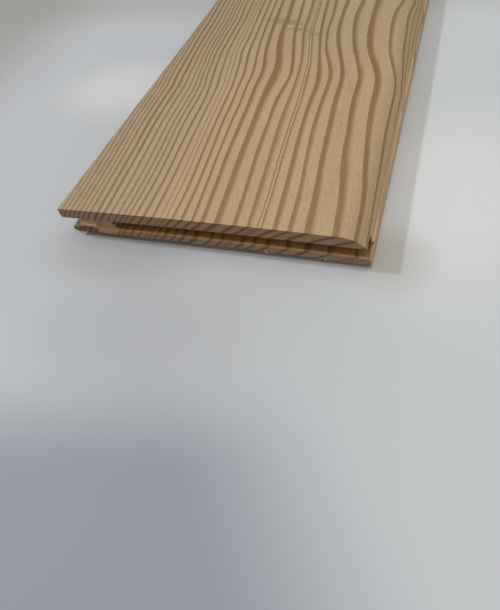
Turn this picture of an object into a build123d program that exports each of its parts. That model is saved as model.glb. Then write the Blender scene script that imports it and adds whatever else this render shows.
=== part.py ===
"""One softwood skirting board with a groove along its lower edge and across one end.

Frame, in millimetres: X across the width with the rounded edge at +X, Y along the
length with the grooved end at -Y, Z up through the thickness. The origin is on the
back face, in the middle of the board's length and width.
"""

import os

from build123d import *

# Overall sizes
board_length = 2400.0
board_width = 120.0
board_thickness = 12.0

# Layers of the section, counted from the face down
upper_lip = 4.3
groove_height = 4.4

# Grooved edge
groove_depth = 6.9
lower_lip_setback = 3.1
lower_round = 2.6
lip_arris = 0.35

# Rounded edge, which ends above a small step
face_round_run = 9.0
step_reach = 1.2
step_height = 1.25
side_lean = 0.4

# Groove across the near end, stopped short of the grooved edge
end_groove_depth = 7.7
stop_from_grooved_edge = 20.4
stop_slant = 4.2

# Break in the core between the stop and the grooved edge
break_slope = 1.3
break_rise_near_edge = 1.2
break_drop_near_stop = 1.7
break_step_from_edge = 13.5

# Places that follow from the sizes
left = -board_width / 2
right = board_width / 2
near_end = -board_length / 2
groove_top = board_thickness - upper_lip
groove_floor = groove_top - groove_height
groove_bottom = left + groove_depth
lower_tip = left + lower_lip_setback
step_edge = right - side_lean
face_tip = step_edge - step_reach
face_round_start = face_tip - face_round_run
step_level = groove_floor + step_height
stop_top = left + stop_from_grooved_edge
stop_floor = stop_top + stop_slant
break_step = left + break_step_from_edge
break_low_near_edge = groove_floor + break_rise_near_edge
break_low_near_stop = groove_floor - break_drop_near_stop

# The board's section, extruded to both sides of the middle
with BuildPart() as board:
    with BuildSketch(Plane.XZ) as section:
        with BuildLine():
            Polyline(
                (face_round_start, board_thickness),
                (left, board_thickness),
                (left, groove_top),
                (groove_bottom, groove_top),
                (groove_bottom, groove_floor),
                (lower_tip, groove_floor),
                (lower_tip, lower_round),
            )
            TangentArc(
                (lower_tip, lower_round),
                (lower_tip + lower_round, 0),
                tangent=(0, -1),
            )
            Polyline(
                (lower_tip + lower_round, 0),
                (right, 0),
                (step_edge, step_level),
                (face_tip, step_level),
                (face_tip, groove_top),
            )
            TangentArc(
                (face_round_start, board_thickness),
                (face_tip, groove_top),
                tangent=(1, 0),
            )
        make_face()
        lip_corners = section.vertices().group_by(Axis.X)[0]
        fillet(lip_corners, radius=lip_arris)
    extrude(amount=board_length / 2, both=True)

    # The end groove runs out through the rounded edge
    with BuildSketch(Plane.XZ.offset(-near_end)):
        with BuildLine():
            Polyline(
                (stop_top, groove_top),
                (stop_floor, groove_floor),
                (right, groove_floor),
                (right, groove_top),
                close=True,
            )
        make_face()
    extrude(amount=-end_groove_depth, mode=Mode.SUBTRACT)

    # The break slopes from the groove's top, set back, down to the end face
    with BuildSketch(Plane.YZ.offset(left)):
        with BuildLine():
            Polyline(
                (near_end, groove_top),
                (near_end + (groove_top - break_low_near_edge) / break_slope, groove_top),
                (near_end, break_low_near_edge),
                close=True,
            )
        make_face()
    extrude(amount=break_step - left, mode=Mode.SUBTRACT)
    with BuildSketch(Plane.YZ.offset(break_step)):
        with BuildLine():
            Polyline(
                (near_end, groove_top),
                (near_end + (groove_top - break_low_near_stop) / break_slope, groove_top),
                (near_end, break_low_near_stop),
                close=True,
            )
        make_face()
    extrude(amount=stop_floor - break_step, mode=Mode.SUBTRACT)

board.part.label = "board"

os.makedirs("parts", exist_ok=True)
export_step(board.part, "parts/board.step")
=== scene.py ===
"""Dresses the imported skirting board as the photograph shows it."""

import math

import bpy
import numpy as np
from mathutils import Matrix, Vector, noise


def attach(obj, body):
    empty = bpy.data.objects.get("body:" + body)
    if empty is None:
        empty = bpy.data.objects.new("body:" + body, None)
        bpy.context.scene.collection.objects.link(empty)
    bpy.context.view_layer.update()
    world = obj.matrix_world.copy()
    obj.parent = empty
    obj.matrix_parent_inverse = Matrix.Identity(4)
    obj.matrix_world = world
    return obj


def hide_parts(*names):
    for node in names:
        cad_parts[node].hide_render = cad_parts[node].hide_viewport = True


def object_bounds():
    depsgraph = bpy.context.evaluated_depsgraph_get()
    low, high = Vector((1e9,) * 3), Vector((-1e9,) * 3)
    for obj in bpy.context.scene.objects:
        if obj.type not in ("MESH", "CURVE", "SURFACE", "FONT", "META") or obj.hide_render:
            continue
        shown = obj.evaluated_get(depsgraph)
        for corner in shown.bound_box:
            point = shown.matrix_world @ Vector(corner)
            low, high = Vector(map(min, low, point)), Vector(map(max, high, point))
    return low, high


MM = 0.001

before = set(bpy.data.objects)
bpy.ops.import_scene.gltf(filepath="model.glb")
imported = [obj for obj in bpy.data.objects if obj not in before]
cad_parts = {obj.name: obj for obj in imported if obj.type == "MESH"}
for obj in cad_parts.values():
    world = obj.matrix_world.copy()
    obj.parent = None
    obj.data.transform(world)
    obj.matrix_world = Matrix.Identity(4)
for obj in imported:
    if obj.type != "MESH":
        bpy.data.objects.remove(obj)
cad_low, cad_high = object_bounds()

# The board as it lies: a little thinner than its nominal size, with its middle raised
half_width = cad_high[0] / MM
half_length = cad_high[1] / MM
nominal_thickness = cad_high[2] / MM
cup = 0.74
box_margin = 0.02
thickness = nominal_thickness - cup - box_margin
end_set_back = 0.5
table_gap = 1.8

# Section sizes in millimetres, X from the upper lip's end, Z from the back
width = 2 * half_width
upper_lip = 4.26
groove_height = 4.43
groove_bottom = 6.9
lower_tip = 3.1
lower_round = 2.3
face_tip = 118.4
face_round_run = 9.0
tip_height = 0.2
rounding_power = 3
step_height = 1.25
side_lean = 0.4
end_groove_depth = 7.7
groove_top = thickness - upper_lip
groove_floor = groove_top - groove_height
step_level = groove_floor + step_height
overlap = 0.04
arris = 0.3

# Saw roughness of the end, and the torn surface of the break
saw_rough, saw_rough_size = 0.05, 0.9
torn_rough, torn_rough_size = 0.45, 1.4
torn_depth = 3.2

# The end groove's stop and the break beside it, heights first
stop_heights = (1.9, 2.56, 2.9, 3.6, 4.3, 7.0)
stop_places = (24.0, 22.9, 22.1, 20.4, 19.7, 19.4)
break_slope = 1.3
break_places = (0, 5, 10, 12.5, 14.0, 14.4, 15.4, 20.4, 23.4, 24.4, 24.6)
break_heights = (3.5, 3.6, 3.4, 3.3, 2.7, 1.1, 0.5, 0.3, 1.1, 2.4, 20)

# Growth rings round a pith below and to the right of the section
pith_x = 160.0
pith_z = -110.0


def lift(x):
    """Height that the board's cup adds at X."""
    return cup * (1 - ((x - width / 2) / (width / 2)) ** 2)


# X of rings on the face at distances from the near end, as read off the photograph
path_at = np.array((0, 20, 40, 60, 80, 90, 100, 110, 120, 140, 160, 175))
paths = np.array((
    (6.6, 5.0, 3.0, 1.2, 0.2, -0.2, -1.2, -2.0, -2.8, -4.2, -5.2, -6.4),
    (18.7, 16.8, 15.0, 12.7, 11.8, 11.4, 9.8, 8.7, 8.0, 6.1, 5.1, 3.7),
    (21.7, 20.0, 18.1, 16.1, 15.1, 14.8, 13.6, 12.5, 11.2, 9.6, 8.4, 6.8),
    (34.8, 34.2, 32.5, 30.2, 29.3, 28.4, 26.2, 24.8, 23.0, 21.6, 20.7, 18.9),
    (38.4, 37.6, 35.7, 34.1, 32.8, 31.0, 29.1, 27.5, 25.9, 24.6, 23.4, 21.2),
    (42.3, 41.0, 39.3, 37.6, 35.9, 35.1, 33.0, 31.2, 29.6, 27.8, 26.8, 25.1),
    (50.1, 49.1, 47.0, 45.0, 43.4, 42.7, 41.0, 39.4, 37.3, 35.7, 33.6, 32.1),
    (53.7, 52.5, 50.4, 48.2, 46.8, 45.7, 45.0, 43.0, 41.0, 38.9, 37.1, 35.7),
    (57.9, 55.9, 53.8, 52.0, 50.7, 49.6, 49.2, 47.5, 45.7, 42.7, 40.6, 39.1),
    (61.7, 59.8, 57.7, 56.4, 55.0, 54.1, 53.8, 52.3, 49.7, 46.8, 44.7, 43.4),
    (67.2, 65.3, 63.6, 62.0, 60.5, 60.1, 59.8, 58.9, 56.6, 52.7, 51.2, 49.3),
    (73.7, 71.8, 69.6, 68.2, 67.0, 67.6, 67.8, 66.1, 63.9, 59.6, 57.3, 55.4),
    (78.5, 76.8, 75.1, 73.2, 72.2, 71.9, 71.1, 69.9, 68.2, 64.1, 62.3, 60.9),
    (82.4, 81.2, 79.4, 78.1, 77.0, 75.9, 74.8, 73.8, 72.1, 68.0, 66.2, 64.8),
    (88.0, 86.5, 84.8, 83.0, 81.9, 81.9, 80.8, 78.8, 76.8, 73.2, 70.7, 69.1),
    (93.0, 91.9, 89.5, 87.6, 86.8, 86.7, 86.0, 83.4, 80.0, 76.3, 75.2, 73.8),
    (99.2, 97.6, 95.6, 94.2, 92.8, 92.4, 91.6, 89.4, 86.4, 81.9, 80.4, 80.1),
    (108.5, 106.4, 103.4, 101.5, 99.8, 99.7, 99.1, 96.6, 93.8, 89.5, 87.4, 88.0),
    (114.8, 114.2, 111.6, 109.3, 108.0, 107.6, 106.3, 103.3, 100.1, 96.9, 95.8, 95.8),
    (118.1, 117.4, 116.7, 115.9, 115.6, 115.4, 114.2, 111.9, 109.6, 107.4, 106.7, 109.2),
    (119.5, 119.0, 118.7, 118.5, 118.0, 117.8, 117.0, 116.2, 115.1, 114.0, 113.3, 114.4),
    (119.75, 119.7, 119.6, 119.5, 119.2, 119.0, 118.6, 117.8, 117.4, 116.3, 116.0, 116.7),
    (119.9, 119.88, 119.85, 119.8, 119.7, 119.6, 119.4, 119.0, 118.8, 117.9, 117.9, 118.3),
))


# Rings made up on both sides of the lines that were read: how many and how far apart
inner_rings, inner_spacing = 30, 3.3
outer_rings, outer_spacing = 59, 1.9

# Slow bends of the rings past the pictured stretch: size and length of the wave
far_bends = ((9.0, 210.0), (2.5, 71.0))


def along_path(path, y):
    """A ring's X at distances y, smooth between the places where it was read."""
    slope = np.gradient(path, path_at)
    k = np.clip(np.searchsorted(path_at, y) - 1, 0, len(path_at) - 2)
    gap = path_at[k + 1] - path_at[k]
    t = (y - path_at[k]) / gap
    start = path[k] * (1 + 2 * t) * (1 - t) ** 2 + slope[k] * gap * t * (1 - t) ** 2
    return start + path[k + 1] * t ** 2 * (3 - 2 * t) + slope[k + 1] * gap * t ** 2 * (t - 1)


def ring_at_end(x, y):
    """X at which the ring through a point of the face meets the near end."""
    far = np.clip(y - path_at[-1], 0, None)
    for size, length in far_bends:
        x = x + size * np.sin(far / length)
    rows = [along_path(path, np.clip(y, 0, path_at[-1])) for path in paths]
    ring = x - rows[0] + paths[0][0]
    for k in range(len(paths) - 1):
        share = (x - rows[k]) / (rows[k + 1] - rows[k])
        ring = np.where(x >= rows[k], paths[k][0] + share * (paths[k + 1][0] - paths[k][0]), ring)
    return np.where(x >= rows[-1], x - rows[-1] + paths[-1][0], ring)


# Where the dark lines swell, and how far to both sides
swell_at, swell_reach = 98, 30

# Dark lines at the near end: left edge, width, strength and their width at the swell, as a share
lines = (
    (2.0, 0.7, 0.8, 1), (4.0, 0.8, 0.75, 1), (6.2, 0.8, 0.9, 1), (8.5, 0.8, 0.8, 1),
    (10.5, 0.9, 0.9, 1), (12.9, 0.9, 0.85, 1), (15.0, 0.9, 0.9, 1), (18.1, 1.3, 1.1, 1),
    (21.1, 1.3, 1.1, 1), (24.3, 1.0, 0.95, 1), (27.3, 0.8, 0.85, 1), (29.8, 0.9, 0.95, 1),
    (32.0, 0.9, 0.95, 1), (34.4, 1.1, 1.0, 1), (37.9, 1.1, 1.1, 1), (41.7, 1.4, 1.0, 1),
    (45.1, 0.5, 0.8, 1), (47.1, 0.5, 0.8, 1), (49.5, 1.3, 1.0, 1), (53.1, 1.3, 1.1, 1),
    (57.3, 1.3, 1.0, 1), (60.9, 1.6, 1.1, 0.8), (65.8, 2.9, 1.0, 1.4), (73.0, 1.7, 1.1, 1.3),
    (78.0, 1.2, 0.9, 0.8), (81.8, 0.6, 1.0, 1), (82.8, 0.7, 0.9, 1), (86.9, 2.3, 1.0, 1.2),
    (92.1, 1.8, 0.95, 1.2), (97.9, 2.8, 1.0, 1.1), (107.3, 2.0, 1.1, 0.65), (113.8, 1.9, 1.05, 1.4),
    (117.8, 0.45, 0.95, 1), (119.42, 0.15, 0.95, 1), (119.7, 0.05, 0.9, 1), (119.87, 0.04, 0.9, 1),
)


def face_height(x):
    """The face, with its left arris and the rounding down to the tip."""
    run = face_round_run
    drop = upper_lip - tip_height
    radius = (run ** 2 + drop ** 2) / (2 * drop)
    over = np.clip(x - (face_tip - run), 0, run)
    left = np.clip(arris - x, 0, arris)
    rounding = radius - np.sqrt(radius ** 2 - over ** 2)
    return thickness - rounding - (arris - np.sqrt(arris ** 2 - left ** 2))


# The outline that the rings are counted along: the face, the rounding and on down the side.
# Both ends are drawn on far enough for every ring that meets the section.
face_x = np.linspace(-90, face_tip, 900)
side_x, side_z = (width - side_lean, width, width + 30), (step_level, 0, -170)
outline_x = np.concatenate([face_x, side_x])
outline_z = np.concatenate([face_height(np.maximum(face_x, arris)), side_z])
outline_radius = np.sqrt((pith_x - outline_x) ** 2 + (outline_z - pith_z) ** 2)


def radius_of(x):
    """Distance from the pith of the ring that meets the outline at X."""
    return np.interp(x, outline_x, outline_radius)


def ring_values(x, y, z):
    """Ring count, dark share of the ring and strength, at points of the flat section."""
    radius = np.sqrt((pith_x - x) ** 2 + (z - pith_z) ** 2)
    meets_at = np.interp(radius, outline_radius[::-1], outline_x[::-1])
    at_end = radius_of(ring_at_end(meets_at, y))
    left, wide, strengths, swell = np.array(lines)[::-1].T
    edges = radius_of(left)
    inner = edges[0] - inner_spacing * np.arange(inner_rings, 0, -1)
    outer = edges[-1] + outer_spacing * np.arange(1, outer_rings + 1)
    all_edges = np.concatenate([inner, edges, outer])

    def with_made_up(inner_value, read, outer_value):
        return np.concatenate([np.full(inner_rings, inner_value), read, np.full(outer_rings, outer_value)])

    dark = with_made_up(0.8, edges - radius_of(left + wide), 0.75)
    strength = with_made_up(0.9, strengths, 0.5)
    swells = with_made_up(1.0, swell, 1.0)
    spans = np.diff(np.concatenate([[all_edges[0] - inner_spacing], all_edges]))
    count = np.interp(at_end, all_edges, np.arange(1, len(all_edges) + 1))
    places = np.arange(len(all_edges)) + 0.5
    share = np.interp(count - 0.5, places, dark / spans)
    near_swell = np.exp(-((y - swell_at) / swell_reach) ** 2)
    share *= 1 + (np.interp(count - 0.5, places, swells) - 1) * near_swell
    power = np.interp(count - 0.5, places, strength)
    return count, share, power


def wobble(x, z, size, seed):
    """Smooth noise between -1 and 1 over the end face."""
    out = np.empty(len(x))
    for i in range(len(x)):
        out[i] = noise.noise(Vector((x[i] / size, z[i] / size, seed)))
    return out


def break_level(x):
    """Height on the end face where the break starts, well above the board where there is none."""
    return np.interp(x, break_places, break_heights)


def sawn_face(x, z):
    """Distance that the upper lip's sawn end stands back at a point of the section."""
    return end_set_back + saw_rough * wobble(x, z, saw_rough_size, 3.0)


def broken_face(x, z):
    """The same below the upper lip, with the break beside the stop."""
    torn = np.clip((z - break_level(x)) / break_slope, 0, torn_depth)
    rough = torn_rough * wobble(x, z, torn_rough_size, 7.0) * np.clip(torn, 0, 1)
    return np.clip(sawn_face(x, z) + torn + rough, 0, end_groove_depth - 0.3)


# Kinds of surface, told apart in the material; the groove's inside carries painted shade and the right side
# painted light
LONG_GRAIN, END_GRAIN, TORN, INSIDE_SHADE, LIT_SIDE_AND_FIBRE = 0.0, 1.0, 2.0, 3.0, 4.0


def slab(x_grid, y_line, layers, low, high, stop=None, near=None, far=None, inner=None, edge=None):
    """Points, faces and kinds of surface of a closed block between two curves over X.

    stop bends its last side over Z, near shapes its near end, far is the kind of
    its near end where that is inside the board, inner is the height of its groove
    side, and its long grain past the X edge is of the kind LIT_SIDE_AND_FIBRE."""
    across, along = len(x_grid) - 1, len(y_line) - 1
    sides = [
        (np.arange(across + 1), np.arange(along + 1), None, 0, False),
        (np.arange(across + 1), np.arange(along + 1), None, layers, True),
        (np.arange(across + 1), None, np.arange(layers + 1), 0, True),
        (np.arange(across + 1), None, np.arange(layers + 1), along, False),
        (None, np.arange(along + 1), np.arange(layers + 1), 0, False),
        (None, np.arange(along + 1), np.arange(layers + 1), across, True),
    ]
    corners, kinds = [], []
    for i, j, k, fixed, turned in sides:
        if k is None:
            a, b = np.meshgrid(i, j, indexing="ij")
            grid = (a * (along + 1) + b) * (layers + 1) + fixed
        elif j is None:
            a, b = np.meshgrid(i, k, indexing="ij")
            grid = (a * (along + 1) + fixed) * (layers + 1) + b
        else:
            a, b = np.meshgrid(j, k, indexing="ij")
            grid = (fixed * (along + 1) + a) * (layers + 1) + b
        quads = np.stack([grid[:-1, :-1], grid[:-1, 1:], grid[1:, 1:], grid[1:, :-1]], -1)
        quads = quads.reshape(-1, 4)
        if turned:
            quads = quads[:, ::-1]
        corners.append(quads)
        kind = END_GRAIN if j is None else LONG_GRAIN
        if j is None and fixed == 0 and far is not None:
            kind = far
        kinds.append(np.full(len(quads), kind))
    used, faces = np.unique(np.concatenate(corners), return_inverse=True)
    faces = faces.reshape(-1, 4)
    layer = used % (layers + 1)
    station = (used // (layers + 1)) % (along + 1)
    column = used // ((layers + 1) * (along + 1))
    x = x_grid[column].astype(float)
    share = layer / layers
    z = low(x) + (high(x) - low(x)) * share
    if stop is not None:
        first = x_grid[0]
        x = first + (x - first) * (stop(z) - first) / (x_grid[-1] - first)
    y = y_line[station].astype(float)
    if near is not None:
        front = y < end_groove_depth - 0.05
        set_back = near(x[front], z[front])
        y[front] = set_back + (end_groove_depth - set_back) * y[front] / end_groove_depth
    points = np.stack([x, y, z], 1)
    kinds = np.concatenate(kinds)
    x, y, z = points[faces].mean(1).T
    if near is broken_face:
        kinds[(kinds == END_GRAIN) & (y < board_length / 2) & (z > break_level(x))] = TORN
    # Long grain past the edge gets the right side's painted light
    if edge is not None:
        kinds[(kinds == LONG_GRAIN) & (x > edge)] = LIT_SIDE_AND_FIBRE
    if inner is not None:
        # Faces deep in the groove get the kind that is painted as shade
        in_groove = (abs(z - inner) < 0.1) & (y > groove_shade_from) & (y < end_groove_depth)
        kinds[(kinds == LONG_GRAIN) & in_groove & (x > stop_places[-1])] = INSIDE_SHADE
    return points, faces, kinds


def columns(*stretches):
    """X places over stretches that follow each other, each given as start, end and step."""
    places = []
    for start, end, step in stretches:
        places.append(np.linspace(start, end, math.ceil((end - start) / step), endpoint=False))
    return np.concatenate(places + [[stretches[-1][1]]])


board_length = 2 * half_length
# Distance from the near end at which the groove's painted shade starts
groove_shade_from = 1.3
near_stations = np.array([0, 0.9, 2.0, 3.6, 5.4, end_groove_depth])
stations = np.concatenate([
    near_stations,
    np.arange(10, 182, 3.8),
    np.linspace(185, board_length, 82),
])
core_stations = stations[len(near_stations) - 1:]


def lip_underside(x):
    """The upper lip's underside, with its own arris."""
    left = np.clip(arris - x, 0, arris)
    return groove_top + (arris - np.sqrt(arris ** 2 - left ** 2))


def back_height(x):
    """The back, with the lower lip's rounded outer corner."""
    over = np.clip(lower_tip + lower_round - x, 0, lower_round)
    return lower_round - np.sqrt(lower_round ** 2 - over ** 2)


def level(height):
    """A flat side of a block."""
    return lambda x: np.full_like(x, height, dtype=float)


def stop_line(z):
    """X of the end groove's stop at a height."""
    return np.interp(z, stop_heights, stop_places)


def rounding_end(x):
    """The rounding's steep last part, from the tip down to the side."""
    top = groove_top + tip_height
    share = np.clip((x - face_tip) / (width - side_lean - face_tip), 0, 1)
    return np.where(x < face_tip, top, step_level + (top - step_level) * (1 - share) ** rounding_power)


def lower_side(z):
    """X of the lower layer's outer side, which leans in towards the step."""
    return width - side_lean * z / step_level


# Width of the band along the right side that is of the kind LIT_SIDE_AND_FIBRE, and where the back gets flat
edge_band = 0.6
round_end = lower_tip + 2.4


def lower_lip(x_grid, y_line, layers, **ends):
    """A stretch of the lower layer."""
    return slab(
        x_grid, y_line, layers, back_height, level(groove_floor),
        stop=lower_side, edge=width - edge_band, **ends,
    )


def between(x_grid, y_line, layers, **ends):
    """A stretch of the wood between the upper and the lower layer."""
    low, high = level(groove_floor - overlap), level(groove_top + overlap)
    return slab(x_grid, y_line, layers, low, high, **ends)


# The lower layers have close columns only where their ends show
slabs = [
    slab(
        columns((0, 0.35, 0.05), (0.35, 108, 0.64), (108, 117.9, 0.33), (117.9, face_tip, 0.1)),
        stations, 9, lip_underside, face_height, near=sawn_face, inner=groove_top,
    ),
    lower_lip(
        columns((lower_tip, round_end, 0.15), (round_end, width, 0.6)),
        near_stations, 8, near=broken_face, inner=groove_floor,
    ),
    lower_lip(
        columns(
            (lower_tip, round_end, 0.3), (round_end, width - edge_band, 4), (width - edge_band, width, 1),
        ),
        core_stations[:-1], 3,
    ),
    lower_lip(columns((lower_tip, round_end, 0.3), (round_end, width, 1)), core_stations[-2:], 5),
    between(columns((groove_bottom, face_tip, 1)), core_stations[:2], 4, far=INSIDE_SHADE),
    between(columns((groove_bottom, face_tip, 12)), core_stations[1:-1], 4),
    between(columns((groove_bottom, face_tip, 1)), core_stations[-2:], 4),
    slab(
        columns((face_tip - 0.5, width - side_lean, 0.2)), core_stations, 5,
        level(groove_floor - overlap), rounding_end, far=INSIDE_SHADE, edge=face_tip - 0.1,
    ),
    between(
        columns((groove_bottom, stop_places[1], 0.27)), near_stations, 20,
        stop=stop_line, near=broken_face,
    ),
]

# Splinters: how many steps each has, how it bends and tapers, and the lowest place of its points
splinter_steps = 4
splinter_bend = 1.4
splinter_taper = 0.75
splinter_lowest = 0.03

# The long ones, as X, height, lean, length and thickness, and how many short ones there are
long_splinters = (
    (83.2, 0.5, 1.3, 1.4, 0.34),
    (104.6, 0.5, 0.7, 1.2, 0.3),
    (49.2, 0.2, 0.5, 0.8, 0.16),
    (56.4, 0.3, -0.3, 0.8, 0.16),
)
short_splinters = 46


def splinter(x, height, lean, length, thick):
    """A thin fibre that hangs from the lower edge of the sawn end, as a closed tapered block."""
    steps = np.linspace(0, 1, splinter_steps + 1)
    centre = np.stack([
        x + lean * steps ** splinter_bend,
        end_set_back + saw_rough - (end_set_back - 2 * saw_rough) * steps,
        height - length * steps,
    ], 1)
    half = thick * (1 - splinter_taper * steps[:, None]) / 2
    corners = np.array(((-1, -1), (1, -1), (1, 1), (-1, 1)))
    sides = [centre + half * (a, b * 0.5, b) for a, b in corners]
    points = np.stack(sides, 1).reshape(-1, 3)
    points[:, 2] = np.maximum(points[:, 2], splinter_lowest - lift(points[:, 0]))
    last = 4 * splinter_steps
    quads = [(3, 2, 1, 0), (last, last + 1, last + 2, last + 3)]
    for step in range(splinter_steps):
        for side in range(4):
            a, b = step * 4 + side, step * 4 + (side + 1) % 4
            quads.append((a, b, b + 4, a + 4))
    return points, np.array(quads), np.full(len(quads), LIT_SIDE_AND_FIBRE)


def fringe():
    """The splinters and the fuzz along the lower edge, a few long ones and many short."""
    chance = np.random.default_rng(5)
    hairs = [splinter(*sizes) for sizes in long_splinters]
    for _ in range(short_splinters):
        x = chance.uniform(16, 117)
        height = chance.uniform(0.05, 0.3)
        lean = chance.normal(0, 0.3)
        length = chance.uniform(0.3, 0.8)
        thick = chance.uniform(0.07, 0.14)
        hairs.append(splinter(x, height, lean, length, thick))
    return hairs


sharp_angle = 35


def build_board():
    """Joins the blocks into one mesh that carries the ring values on its points."""
    points, faces, kinds = [], [], []
    total = 0
    for block, quads, block_kinds in slabs + fringe():
        points.append(block)
        faces.append(quads + total)
        kinds.append(block_kinds)
        total += len(block)
    points = np.concatenate(points)
    faces = np.concatenate(faces)
    kinds = np.concatenate(kinds)
    count, share, power = ring_values(points[:, 0], points[:, 1], points[:, 2])
    placed = points.copy()
    placed[:, 2] += lift(points[:, 0])
    placed[:, 0] -= half_width
    placed[:, 1] -= half_length
    placed *= MM
    mesh = bpy.data.meshes.new("board_wood")
    mesh.from_pydata(placed.tolist(), [], faces.tolist())
    for name, values in (("ring_count", count), ("dark_share", share), ("dark_power", power)):
        layer = mesh.attributes.new(name, "FLOAT", "POINT")
        layer.data.foreach_set("value", values.astype(np.float32))
    layer = mesh.attributes.new("surface_kind", "FLOAT", "FACE")
    layer.data.foreach_set("value", kinds.astype(np.float32))
    mesh.validate()
    mesh.update()
    for polygon in mesh.polygons:
        polygon.use_smooth = True
    mesh.set_sharp_from_angle(angle=math.radians(sharp_angle))
    piece = bpy.data.objects.new("board_wood", mesh)
    bpy.context.scene.collection.objects.link(piece)
    return piece


class Nodes:
    """Short calls for a material's node tree."""

    def __init__(self, name):
        self.material = bpy.data.materials.new(name)
        self.material.use_nodes = True
        self.tree = self.material.node_tree
        self.shader = self.tree.nodes["Principled BSDF"]

    def link(self, value, socket):
        if hasattr(value, "is_output"):
            self.tree.links.new(value, socket)
        else:
            socket.default_value = value

    def add(self, kind, **settings):
        node = self.tree.nodes.new(kind)
        for key, value in settings.items():
            setattr(node, key, value)
        return node

    def math(self, operation, a, b=0.0, c=0.0, clamp=False):
        node = self.add("ShaderNodeMath", operation=operation, use_clamp=clamp)
        for socket, value in zip(node.inputs, (a, b, c)):
            self.link(value, socket)
        return node.outputs[0]

    def ramp(self, value, low, high, to_low=0.0, to_high=1.0, smooth=True):
        node = self.add("ShaderNodeMapRange")
        node.interpolation_type = "SMOOTHSTEP" if smooth else "LINEAR"
        for name, item in (
            ("Value", value), ("From Min", low), ("From Max", high), ("To Min", to_low), ("To Max", to_high),
        ):
            self.link(item, node.inputs[name])
        return node.outputs["Result"]

    def mix(self, share, a, b, blend="MIX"):
        node = self.add("ShaderNodeMix", data_type="RGBA", blend_type=blend)
        self.link(share, node.inputs["Factor"])
        self.link(a, node.inputs[6])
        self.link(b, node.inputs[7])
        return node.outputs[2]

    def noise(self, vector, scale, detail=2.0, rough=0.5):
        """Noise in a space stretched by scale along each axis."""
        node = self.add("ShaderNodeTexNoise", noise_dimensions="3D")
        self.link(self.stretched(vector, scale), node.inputs["Vector"])
        node.inputs["Scale"].default_value = 1.0
        node.inputs["Detail"].default_value = detail
        node.inputs["Roughness"].default_value = rough
        return node.outputs["Fac"]

    def stretched(self, vector, scale):
        node = self.add("ShaderNodeVectorMath", operation="MULTIPLY")
        self.link(vector, node.inputs[0])
        node.inputs[1].default_value = scale
        return node.outputs[0]

    def value(self, name):
        return self.add("ShaderNodeAttribute", attribute_name=name).outputs["Fac"]


def linear(red, green, blue):
    """A colour given in 0 to 255 display values, as the shader wants it."""
    channels = []
    for value in (red, green, blue):
        value /= 255
        channels.append(value / 12.92 if value <= 0.04045 else ((value + 0.055) / 1.055) ** 2.4)
    return (*channels, 1.0)


def smear(n, place, centre, size_x, size_y, turn_degrees=0, edge=0.2):
    """A soft round-ended mark, 1 in its middle and 0 outside."""
    node = n.add("ShaderNodeMapping", vector_type="TEXTURE")
    n.link(place, node.inputs["Vector"])
    node.inputs["Location"].default_value = (centre[0], centre[1], 0)
    node.inputs["Rotation"].default_value = (0, 0, math.radians(turn_degrees))
    node.inputs["Scale"].default_value = (size_x, size_y, 100)
    length = n.add("ShaderNodeVectorMath", operation="LENGTH")
    n.link(node.outputs[0], length.inputs[0])
    return n.ramp(length.outputs["Value"], edge, 1.0, 1.0, 0.0)


def face_mark(n, place, x, y, size_x, size_y, turn_degrees):
    """A smear on the face, sizes in millimetres from its left edge and near end."""
    centre = ((x - half_width) * MM, (y - half_length) * MM)
    return smear(n, place, centre, size_x * MM, size_y * MM, turn_degrees)


def ring_darkness(n, place):
    """How dark the wood is at a point: each ring rises slowly to its late wood and falls sharply."""
    wander = n.noise(place, (300, 14, 300))
    shift = n.math("MULTIPLY", n.math("SUBTRACT", wander, 0.5), 0.12)
    part = n.math("FRACT", n.math("ADD", n.value("ring_count"), shift))
    share = n.value("dark_share")
    rise = n.ramp(
        part,
        n.math("SUBTRACT", 1.0, n.math("MULTIPLY", share, 1.45)),
        n.math("SUBTRACT", 1.0, n.math("MULTIPLY", share, 0.6)),
    )
    fall = n.ramp(part, n.math("SUBTRACT", 1.0, n.math("MULTIPLY", share, 0.18)), 1.0, 1.0, 0.0)
    return n.math("MULTIPLY", n.math("MULTIPLY", rise, fall), n.value("dark_power"), clamp=True)


def planed_wood(n, place, x, y, dark, fibre, speck):
    """Colour of the planed long grain, a little lighter and warmer to the right; the darker left is partly
    painted shade, partly the wood's tone.
    """
    # Painted shade in part: the left of the face darker
    light_and_tone_rightward = n.ramp(x, -0.06, 0.0)
    pale = n.mix(light_and_tone_rightward, linear(167, 142, 111), linear(179, 153, 119))
    late = n.mix(light_and_tone_rightward, linear(123, 97, 64), linear(138, 103, 60))
    wood = n.mix(dark, pale, late)
    patch = n.noise(place, (70, 8, 70))
    tone = n.math("ADD", n.math("MULTIPLY", fibre, 0.25), n.math("MULTIPLY", patch, 0.20))
    tone = n.math("ADD", tone, n.math("MULTIPLY", speck, 0.7))
    tone = n.math("ADD", tone, n.ramp(y, -1.13, -1.04, 0.425, 0.335))
    shade = n.add("ShaderNodeCombineColor")
    for socket in shade.inputs[:3]:
        n.link(tone, socket)
    return n.mix(1.0, wood, shade.outputs[0], "MULTIPLY")


# Rubbed marks on the face: X, Y, their two sizes, turn in degrees and strength
rubbed_marks = (
    (51, 153.5, 20, 4.6, -22, 1.0),
    (61, 144, 12, 3.4, -12, 0.75),
    (72, 138.5, 9, 2.6, -14, 0.6),
)
bare_spots = ((55.3, 148, 2.2, 1.0, -20, 1.0), (60.5, 147.2, 1.8, 0.9, -20, 1.0))


def strongest_mark(n, place, marks):
    """The marks laid over each other, the strongest one showing."""
    total = 0.0
    for *sizes, strength in marks:
        total = n.math("MAXIMUM", total, n.math("MULTIPLY", face_mark(n, place, *sizes), strength))
    return total


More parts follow.
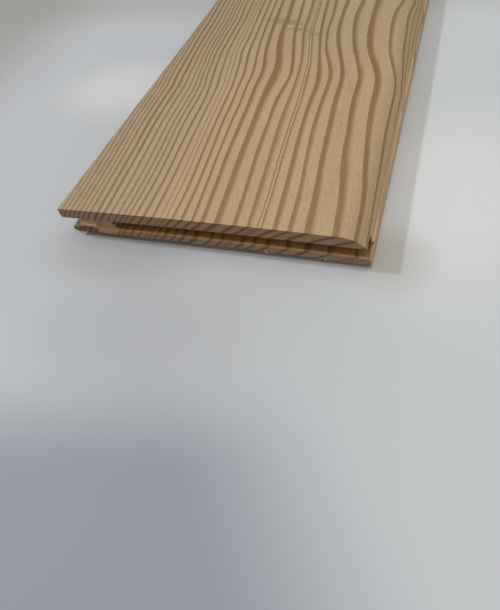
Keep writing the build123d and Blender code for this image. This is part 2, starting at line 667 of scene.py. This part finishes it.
def marked(n, place, wood, kind, speck):
    """The face's grey smudges, with the two paler spots in them."""
    on_face = n.ramp(kind, 0.0, 0.5, 1.0, 0.0)
    marks = n.math("MULTIPLY", strongest_mark(n, place, rubbed_marks), on_face)
    marks = n.math("MULTIPLY", marks, n.ramp(speck, 0.2, 0.7, 0.25, 0.6))
    wood = n.mix(marks, wood, linear(116, 100, 78))
    bare = n.math("MULTIPLY", strongest_mark(n, place, bare_spots), 0.6)
    return n.mix(bare, wood, linear(196, 174, 146))


def saw_marks(n, place):
    """Fleck and slanting hatch of the sawn end."""
    fleck = n.noise(place, (2300, 2300, 2300), 2.0, 0.6)
    hatch = n.add("ShaderNodeTexWave", wave_type="BANDS", bands_direction="DIAGONAL", wave_profile="SIN")
    n.link(n.stretched(place, (1, 0, 1.44)), hatch.inputs["Vector"])
    hatch.inputs["Scale"].default_value = 349.0
    hatch.inputs["Distortion"].default_value = 1.2
    hatch.inputs["Detail"].default_value = 1.0
    return n.math("ADD", n.math("MULTIPLY", fleck, 0.55), n.math("MULTIPLY", hatch.outputs["Fac"], 0.3))


def sawn_end(n, x, z, dark, sawn):
    """Colour of the end grain, darker at the lower left."""
    colour = n.mix(dark, linear(178, 146, 112), linear(96, 66, 46))
    colour = n.mix(n.ramp(sawn, 0.3, 0.75, 0.6, 0.0), colour, linear(92, 68, 48))
    darker_low_left = n.math("MULTIPLY", n.ramp(x, -0.050, -0.030, 0.5, 0.0), n.ramp(z, 0.004, 0.006, 1.0, 0.0))
    return n.mix(darker_low_left, colour, linear(60, 50, 40))


def torn_wood(n, z, dark, fibre):
    """Colour of the broken corner, paler towards its top as painted light and darker low down as painted
    shade.
    """
    # Painted light and shade: paler up under the lip, darker low where the slope faces the lamps
    colour = n.mix(n.ramp(z, 0.0015, 0.0045), linear(160, 130, 98), linear(206, 176, 136))
    colour = n.mix(n.math("MULTIPLY", dark, 0.25), colour, linear(128, 98, 68))
    return n.mix(n.ramp(fibre, 0.3, 0.7, 0.4, 0.0), colour, linear(128, 100, 70))


def softwood():
    """Planed softwood: rings from the mesh, fibre and fleck from noise in the board's own space."""
    n = Nodes("softwood")
    place = n.add("ShaderNodeTexCoord").outputs["Object"]
    split = n.add("ShaderNodeSeparateXYZ")
    n.link(place, split.inputs[0])
    x, y, z = split.outputs
    kind = n.value("surface_kind")
    fibre = n.noise(place, (1500, 60, 1500), 3.0, 0.65)
    speck = n.noise(place, (2600, 700, 2600), 2.0, 0.6)
    dark = n.math("MULTIPLY", ring_darkness(n, place), n.ramp(y, -1.2, -1.08, 0.88, 1.0))
    sawn = saw_marks(n, place)
    wood = planed_wood(n, place, x, y, dark, fibre, speck)
    wood = marked(n, place, wood, kind, speck)
    colour = wood
    for surface, look in (
        (END_GRAIN, sawn_end(n, x, z, dark, sawn)),
        (TORN, torn_wood(n, z, dark, fibre)),
        # Painted shade: the groove's inside, past its lit front strip, darker and warmer as shade and light
        # bounced in the recess
        (INSIDE_SHADE, n.mix(1.0, wood, (0.98, 0.76, 0.47, 1.0), "MULTIPLY")),
        # Painted light: the right side, its ledge and band lighter as light bounced off the table; the
        # splinters are pale fibres
        (LIT_SIDE_AND_FIBRE, n.mix(1.0, wood, (1.42, 1.42, 1.46, 1.0), "MULTIPLY")),
    ):
        colour = n.mix(n.math("COMPARE", kind, surface, 0.1), colour, look)
    n.link(colour, n.shader.inputs["Base Color"])
    n.link(n.ramp(dark, 0, 1, 0.62, 0.5), n.shader.inputs["Roughness"])
    n.shader.inputs["Specular IOR Level"].default_value = 0.3
    bump = n.add("ShaderNodeBump")
    bump.inputs["Strength"].default_value = 0.3
    bump.inputs["Distance"].default_value = 0.0001
    saw_relief = n.math("MULTIPLY", sawn, n.math("COMPARE", kind, END_GRAIN, 0.1))
    height = n.math("ADD", n.math("MULTIPLY", fibre, 0.6), n.math("MULTIPLY", dark, 0.5))
    height = n.math("ADD", height, n.math("MULTIPLY", saw_relief, 2.0))
    n.link(height, bump.inputs["Height"])
    n.link(bump.outputs[0], n.shader.inputs["Normal"])
    return n.material


board = build_board()
board.data.materials.append(softwood())
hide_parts("board")
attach(board, "root")

# Camera, from a fit to the board's straight edges
photo_width, photo_height = 500, 610
focal_px = 485.4
sensor_mm = 36.0
camera_at = Vector((132.72 - half_width, -110.48 + end_set_back - half_length, 122.92)) * MM
forward = Vector((-0.3030, 0.5514, -0.7773)).normalized()
right = Vector((0.942, 0.2967, -0.1568))
right = (right - forward * right.dot(forward)).normalized()
up = right.cross(forward)
turn = Matrix((right, up, -forward)).transposed()
camera_data = bpy.data.cameras.new("camera")
camera_data.sensor_fit = "VERTICAL"
camera_data.sensor_height = sensor_mm
camera_data.sensor_width = sensor_mm
camera_data.lens = focal_px / photo_height * sensor_mm
camera_data.clip_start = 0.005
camera_data.clip_end = 20.0
camera = bpy.data.objects.new("camera", camera_data)
camera.matrix_world = Matrix.Translation(camera_at) @ turn.to_4x4()
bpy.context.scene.collection.objects.link(camera)
bpy.context.scene.camera = camera


def on_table(px, py):
    """Where a point of the picture meets the table."""
    ray = forward * focal_px + right * (px - photo_width / 2) - up * (py - photo_height / 2)
    return camera_at + ray * (-camera_at.z / ray.z)


def quad(name, corners, material):
    """A flat piece between four corners."""
    mesh = bpy.data.meshes.new(name)
    mesh.from_pydata([tuple(c) for c in corners], [], [range(len(corners))])
    mesh.materials.append(material)
    piece = bpy.data.objects.new(name, mesh)
    bpy.context.scene.collection.objects.link(piece)
    return piece


def beyond(n, place, first, second, soft):
    """0 on one side of the line between two points of the picture, 1 on the other."""
    a, b = on_table(*first), on_table(*second)
    side = Vector((-(b - a).y, (b - a).x, 0)).normalized()
    node = n.add("ShaderNodeVectorMath", operation="DOT_PRODUCT")
    n.link(place, node.inputs[0])
    node.inputs[1].default_value = side
    middle = side.dot(a)
    return n.ramp(node.outputs["Value"], middle - soft / 2, middle + soft / 2)


# Painted pools of light and shadow on the table, by their places in the picture: middle, size, strength,
# colour
light_and_shadow_pools = (
    ((462, 190), (0.055, 0.075), 0.9, (216, 216, 214)),
    ((120, 85), (0.05, 0.04), 0.9, (204, 203, 199)),
    ((130, 330), (0.05, 0.035), 0.5, (168, 169, 171)),
    ((112, 250), (0.045, 0.022), 0.7, (164, 164, 162)),
    ((392, 257), (0.019, 0.022), 0.6, (180, 175, 165)),
)

# Lines past which its tone changes: two points of the picture, softness, strength, colour
edges_of_light = (
    ((15, 62), (135, -42), 0.1, 1.0, (157, 155, 151)),
    ((420, 0), (480, -3), 0.045, 0.4, (156, 148, 137)),
)


def table_top():
    """A pale table top with painted light and shadow for the picture's soft changes of tone, plain away from
    the pictured stretch.
    """
    n = Nodes("table_top")
    place = n.add("ShaderNodeTexCoord").outputs["Object"]
    # Painted shade: the table darker to the left
    shade_to_left = beyond(n, place, (330, 480), (330, 100), 0.11)
    colour = n.mix(shade_to_left, linear(199, 201, 202), linear(185, 186, 188))
    for spot, size, share, tint in light_and_shadow_pools:
        painted_pool = n.math("MULTIPLY", smear(n, place, on_table(*spot), *size), share)
        colour = n.mix(painted_pool, colour, linear(*tint))
    for first, second, soft, share, tint in edges_of_light:
        side = n.math("MULTIPLY", beyond(n, place, first, second, soft), share)
        colour = n.mix(side, colour, linear(*tint))
    # Painted shadow over the lower left of the pictured table
    near_shadow = n.math(
        "MULTIPLY",
        beyond(n, place, (250, 407), (30, 414), 0.038),
        beyond(n, place, (300, 560), (250, 440), 0.055),
    )
    colour = n.mix(near_shadow, colour, linear(147, 151, 160))
    pictured = smear(n, place, on_table(250, 150), 1.1, 1.1, edge=0.4)
    colour = n.mix(pictured, linear(188, 189, 190), colour)
    n.link(colour, n.shader.inputs["Base Color"])
    n.shader.inputs["Roughness"].default_value = 0.55
    n.shader.inputs["Specular IOR Level"].default_value = 0.2
    return n.material


table_level = -table_gap * MM
table_half = 3.0
table_corners = [
    (x * table_half, y * table_half, table_level) for x, y in ((-1, -1), (1, -1), (1, 1), (-1, 1))
]
table = quad("table", table_corners, table_top())


def area_light(name, offset, size, power, colour):
    """A square lamp at an offset from the near end, turned towards it."""
    data = bpy.data.lights.new(name, "AREA")
    data.shape = "SQUARE"
    data.size = size
    data.energy = power
    data.color = colour
    lamp = bpy.data.objects.new(name, data)
    lamp.location = near_end + Vector(offset)
    lamp.rotation_euler = (-Vector(offset)).to_track_quat("-Z", "Y").to_euler()
    bpy.context.scene.collection.objects.link(lamp)


near_end = Vector((0, -half_length * MM, 0))
area_light("ceiling_lamp", (0.0, -0.42, 1.8), 0.2, 7.4, (1.0, 0.97, 0.9))
area_light("far_lamp", (0.1, 0.5, 1.7), 0.9, 4.0, (1.0, 0.98, 0.92))
area_light("side_lamp", (-1.44, 0.1, 1.25), 0.1, 13.9, (0.9, 1.0, 1.14))

world = bpy.data.worlds.new("room")
world.use_nodes = True
background = world.node_tree.nodes["Background"]
background.inputs["Color"].default_value = (1.0, 0.995, 0.975, 1)
background.inputs["Strength"].default_value = 0.42
bpy.context.scene.world = world
bpy.context.scene.view_settings.view_transform = "Standard"
